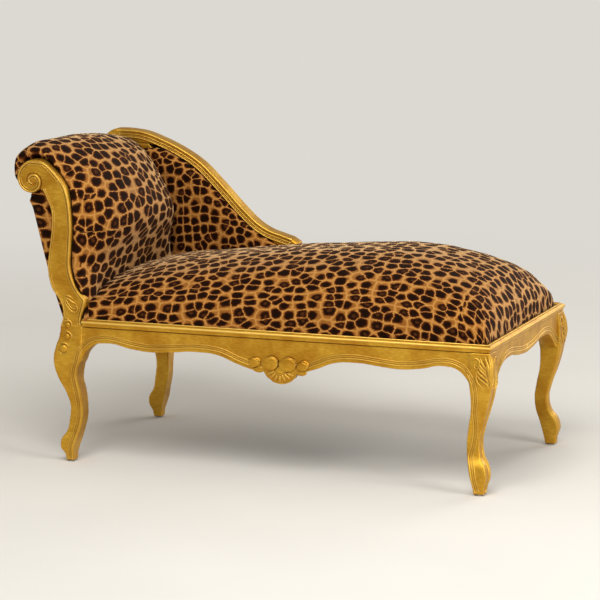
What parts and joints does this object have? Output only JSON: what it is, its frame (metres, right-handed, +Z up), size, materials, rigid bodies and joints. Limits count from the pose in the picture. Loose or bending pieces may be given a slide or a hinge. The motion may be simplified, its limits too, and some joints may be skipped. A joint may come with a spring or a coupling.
{
  "type": "chaise longue",
  "caption": "Chaise longue with a carved gilded wooden frame, a scrolled head, a half back and a padded seat in animal print velvet, on cabriole legs.",
  "frame": {"origin": "on the floor, in the middle of the overall length and width", "axes": "+X from the head to the foot, +Y from the open front to the side with the half back, +Z up"},
  "size_m": [1.405, 0.734, 0.8859],
  "materials": {
    "leg_front_foot": "gilded, satin",
    "leg_back_foot": "gilded, satin",
    "leg_front_head": "gilded, satin",
    "leg_back_head": "gilded, satin",
    "rail_front": "gilded, satin",
    "rail_back": "gilded, satin",
    "rail_foot": "gilded, satin",
    "rail_head": "gilded, satin",
    "scroll_post_front": "gilded, satin",
    "scroll_post_back": "gilded, satin",
    "crest_rail": "gilded, satin",
    "moulding_front": "gilded, satin",
    "moulding_back": "gilded, satin",
    "moulding_back_panel": "gilded, satin",
    "moulding_foot": "gilded, satin",
    "apron_flower": "gilded, satin",
    "corner_block_front_foot": "plain, unfinished",
    "corner_block_back_foot": "plain, unfinished",
    "corner_block_front_head": "plain, unfinished",
    "corner_block_back_head": "plain, unfinished",
    "seat_brace": "plain, unfinished",
    "head_top_rail": "plain, unfinished",
    "head_lower_slat": "plain, unfinished",
    "head_middle_slat": "plain, unfinished",
    "half_back_slat": "plain, unfinished",
    "seat_webbing_cross": "woven webbing",
    "seat_webbing_long": "woven webbing",
    "head_webbing": "woven webbing",
    "half_back_webbing": "woven webbing",
    "seat_hessian": "hessian",
    "dust_cover": "black cambric",
    "seat_cushion": "printed velvet, leopard print",
    "head_cushion": "printed velvet, leopard print",
    "head_outside_cover": "printed velvet, leopard print",
    "half_back_cushion": "printed velvet, leopard print",
    "half_back_outside_cover": "printed velvet, leopard print",
    "foot_glides": "nail-on glide"
  },
  "bodies": {
    "root": {"leg_front_foot": "leg_front_foot", "leg_back_foot": "leg_back_foot", "leg_front_head": "leg_front_head", "leg_back_head": "leg_back_head", "rail_front": "rail_front", "rail_back": "rail_back", "rail_foot": "rail_foot", "rail_head": "rail_head", "scroll_post_front": "scroll_post_front", "scroll_post_back": "scroll_post_back", "crest_rail": "crest_rail", "moulding_front": "moulding_front", "moulding_back": "moulding_back", "moulding_back_panel": "moulding_back_panel", "moulding_foot": "moulding_foot", "apron_flower": "apron_flower", "corner_block_front_foot": "corner_block_front_foot", "corner_block_back_foot": "corner_block_back_foot", "corner_block_front_head": "corner_block_front_head", "corner_block_back_head": "corner_block_back_head", "seat_brace": "seat_brace", "head_top_rail": "head_top_rail", "head_lower_slat": "head_lower_slat", "head_middle_slat": "head_middle_slat", "half_back_slat": "half_back_slat", "seat_webbing_cross": "seat_webbing_cross", "seat_webbing_long": "seat_webbing_long", "head_webbing": "head_webbing", "half_back_webbing": "half_back_webbing", "seat_hessian": "seat_hessian", "dust_cover": "dust_cover", "seat_cushion": "seat_cushion", "head_cushion": "head_cushion", "head_outside_cover": "head_outside_cover", "half_back_cushion": "half_back_cushion", "half_back_outside_cover": "half_back_outside_cover", "foot_glides": "foot_glides"}
  },
  "joints": []
}
